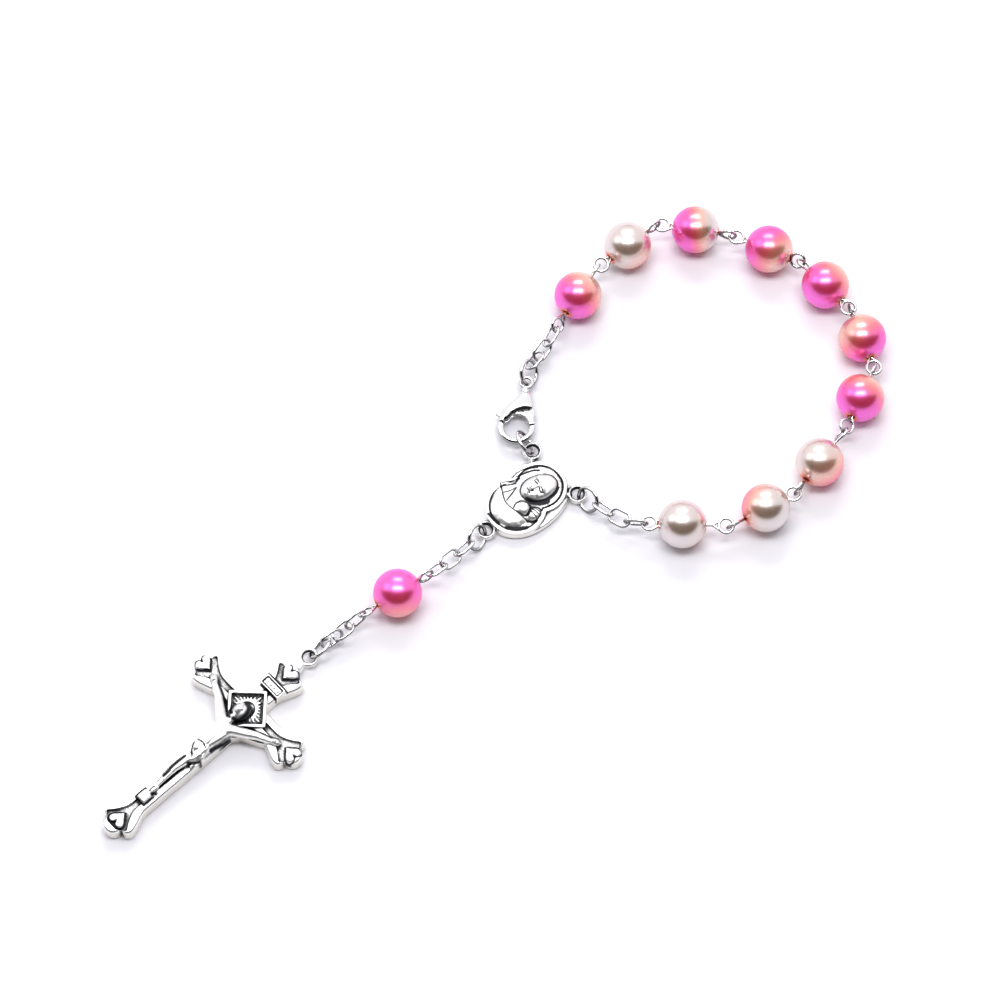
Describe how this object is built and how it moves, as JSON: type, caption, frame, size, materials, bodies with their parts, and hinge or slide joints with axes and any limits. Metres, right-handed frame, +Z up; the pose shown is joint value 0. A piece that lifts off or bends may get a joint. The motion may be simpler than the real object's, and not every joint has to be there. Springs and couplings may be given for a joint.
{
  "type": "beaded bracelet",
  "caption": "Bracelet of round imitation pearls on eye pins, with a lobster clasp, oval links, a two-lobed medal and a short drop with a crucifix, laid open.",
  "frame": {"origin": "on the table, under the middle of the whole piece's box", "axes": "+X to the right as seen, +Y away from the viewer, +Z up from the table"},
  "size_m": [0.1281, 0.1119, 0.008],
  "materials": {
    "pearl_01": "pearly coating, satin gloss, colour running from magenta to peach and cream",
    "pearl_02": "pearly coating, satin gloss, colour running from magenta to peach and cream",
    "pearl_03": "pearly coating, satin gloss, colour running from magenta to peach and cream",
    "pearl_04": "pearly coating, satin gloss, colour running from magenta to peach and cream",
    "pearl_05": "pearly coating, satin gloss, colour running from magenta to peach and cream",
    "pearl_06": "pearly coating, satin gloss, colour running from magenta to peach and cream",
    "pearl_07": "pearly coating, satin gloss, colour running from magenta to peach and cream",
    "pearl_08": "pearly coating, satin gloss, colour running from magenta to peach and cream",
    "pearl_09": "pearly coating, satin gloss, colour running from magenta to peach and cream",
    "pearl_10": "pearly coating, satin gloss, colour running from magenta to peach and cream",
    "pearl_11": "pearly coating, satin gloss, colour running from magenta to peach and cream",
    "wire": "bright silver-tone plating",
    "clasp_metal": "bright silver-tone plating",
    "cast_metal": "antique silver tone, dark in the recesses"
  },
  "bodies": {
    "bracelet": {"bead_01": "pearl_01", "bead_02": "pearl_02", "bead_03": "pearl_03", "bead_04": "pearl_04", "bead_05": "pearl_05", "bead_06": "pearl_06", "bead_07": "pearl_07", "bead_08": "pearl_08", "bead_09": "pearl_09", "bead_10": "pearl_10", "bead_11": "pearl_11", "pin_01": "wire", "pin_02": "wire", "pin_03": "wire", "pin_04": "wire", "pin_05": "wire", "pin_06": "wire", "pin_07": "wire", "pin_08": "wire", "pin_09": "wire", "pin_10": "wire", "pin_11": "wire", "clasp_link_1": "wire", "clasp_link_2": "wire", "clasp_link_3": "wire", "side_link_1": "wire", "side_link_2": "wire", "side_link_3": "wire", "drop_link_1": "wire", "drop_link_2": "wire", "drop_link_3": "wire", "cross_link_1": "wire", "cross_link_2": "wire", "cross_link_3": "wire", "clasp_ring": "wire", "side_ring": "wire", "drop_ring": "wire", "cross_ring": "wire", "catch_ring": "wire", "medal": "cast_metal", "crucifix": "cast_metal", "clasp_body": "clasp_metal"},
    "lever": {"clasp_lever": "clasp_metal"}
  },
  "joints": [
    {"name": "clasp_lever_hinge", "type": "hinge", "parent": "bracelet", "child": "lever", "pos_m": [0.00462, 0.02021, 0.0021], "axis": [0, 0, -1], "range_deg": [0, 18], "stiffness_Nm_per_rad": 0.003, "springref_deg": -17.19}
  ]
}
